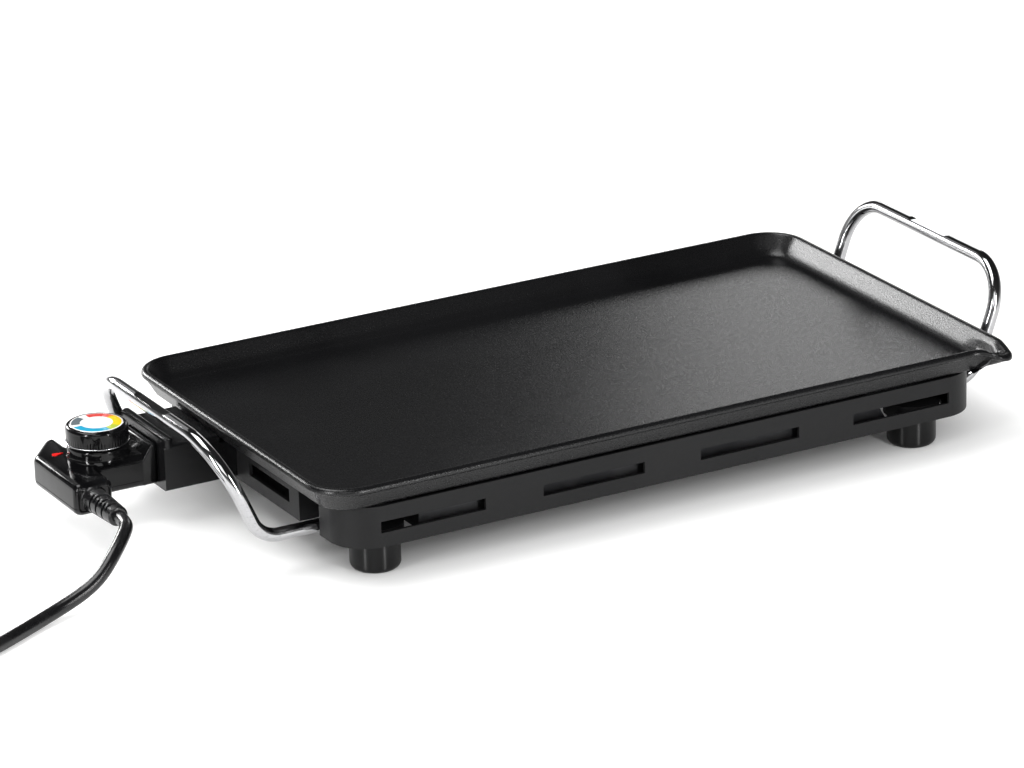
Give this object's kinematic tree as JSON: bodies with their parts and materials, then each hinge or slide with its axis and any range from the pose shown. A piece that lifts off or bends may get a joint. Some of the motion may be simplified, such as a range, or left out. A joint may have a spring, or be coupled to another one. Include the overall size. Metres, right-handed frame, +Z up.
{
  "type": "electric table griddle",
  "caption": "Rectangular electric table griddle: shallow cast plate with pouring corner, low slotted base on feet, bent-rod handles, plug-in dial thermostat with cord.",
  "frame": {"origin": "middle of the object's outline without its cord, on the surface it stands on", "axes": "+X along the plate away from the thermostat, +Y from the pouring corner's side to the far side, +Z up"},
  "size_m": [0.8199, 0.2732, 0.0929],
  "materials": {
    "plate_coating": "fine-grained dark non-stick coating on cast aluminium",
    "base_coating": "satin dark grey stove paint",
    "reflector_steel": "dark heat-tinted steel sheet",
    "element_sheath": "heat-dulled steel tube",
    "zinc_steel": "zinc-plated steel",
    "chrome_rod": "mirror-bright chrome plating",
    "gloss_black": "gloss black moulded plastic",
    "satin_black": "satin black heat-resistant plastic",
    "ceramic": "glazed white ceramic",
    "brass_contact": "plain brass",
    "nickel_contact": "nickel-plated brass",
    "dial_print": "printed disc with a red, yellow, blue and grey ring",
    "bright_trim": "hot-stamped silver",
    "red_lens": "clear red plastic",
    "lamp_glass": "clear glass",
    "cord_jacket": "black rubber jacket",
    "lead_insulation": "brown and blue insulation",
    "tie_band": "soft black band"
  },
  "bodies": {
    "base": {"griddle_plate": "plate_coating", "base_frame": "base_coating", "heat_reflector": "reflector_steel", "reflector_screws": "zinc_steel", "heating_element": "element_sheath", "element_bead_near": "ceramic", "element_bead_far": "ceramic", "element_pin_near": "nickel_contact", "element_pin_far": "nickel_contact", "earth_pin": "nickel_contact", "probe_guide_tube": "element_sheath", "receptacle_housing": "satin_black", "receptacle_screws": "zinc_steel", "handle_left": "chrome_rod", "handle_right": "chrome_rod", "clamp_screws": "zinc_steel", "foot_left_near": "gloss_black", "foot_screw_left_near": "zinc_steel", "foot_left_far": "gloss_black", "foot_screw_left_far": "zinc_steel", "foot_right_near": "gloss_black", "foot_screw_right_near": "zinc_steel", "foot_right_far": "gloss_black", "foot_screw_right_far": "zinc_steel", "plate_screw_1": "zinc_steel", "plate_screw_2": "zinc_steel", "plate_screw_3": "zinc_steel", "plate_screw_4": "zinc_steel", "handle_clamp_left_near": "base_coating", "handle_clamp_left_far": "base_coating", "handle_clamp_right_near": "base_coating", "handle_clamp_right_far": "base_coating"},
    "thermostat": {"control_housing_top": "gloss_black", "control_housing_bottom": "gloss_black", "control_screws": "zinc_steel", "sensor_probe": "nickel_contact", "line_sockets": "brass_contact", "earth_socket": "brass_contact", "switch_base": "ceramic", "contact_leaf_fixed": "brass_contact", "contact_leaf_moving": "brass_contact", "contact_rivets": "nickel_contact", "indicator_lens": "red_lens", "neon_lamp": "lamp_glass", "cord_clamp": "satin_black", "cord_inner_end": "cord_jacket", "inner_leads": "lead_insulation", "cord_strain_relief": "cord_jacket", "power_cord": "cord_jacket", "cord_coil": "cord_jacket", "cord_tie": "tie_band", "plug_body": "cord_jacket", "plug_pins": "nickel_contact", "plug_earth_strips": "nickel_contact"},
    "dial": {"knob_shell": "gloss_black", "knob_band": "bright_trim", "knob_dial": "dial_print", "knob_rim": "bright_trim", "knob_spindle": "zinc_steel", "spindle_clip": "zinc_steel"}
  },
  "joints": [
    {"name": "thermostat_pull", "type": "slide", "parent": "base", "child": "thermostat", "axis": [-1, 0, 0], "range_m": [0, 0.115]},
    {"name": "dial_turn", "type": "hinge", "parent": "thermostat", "child": "dial", "pos_m": [-0.2576, 0.05243, 0.0494], "axis": [0, 0, -1], "range_deg": [0, 250]}
  ]
}
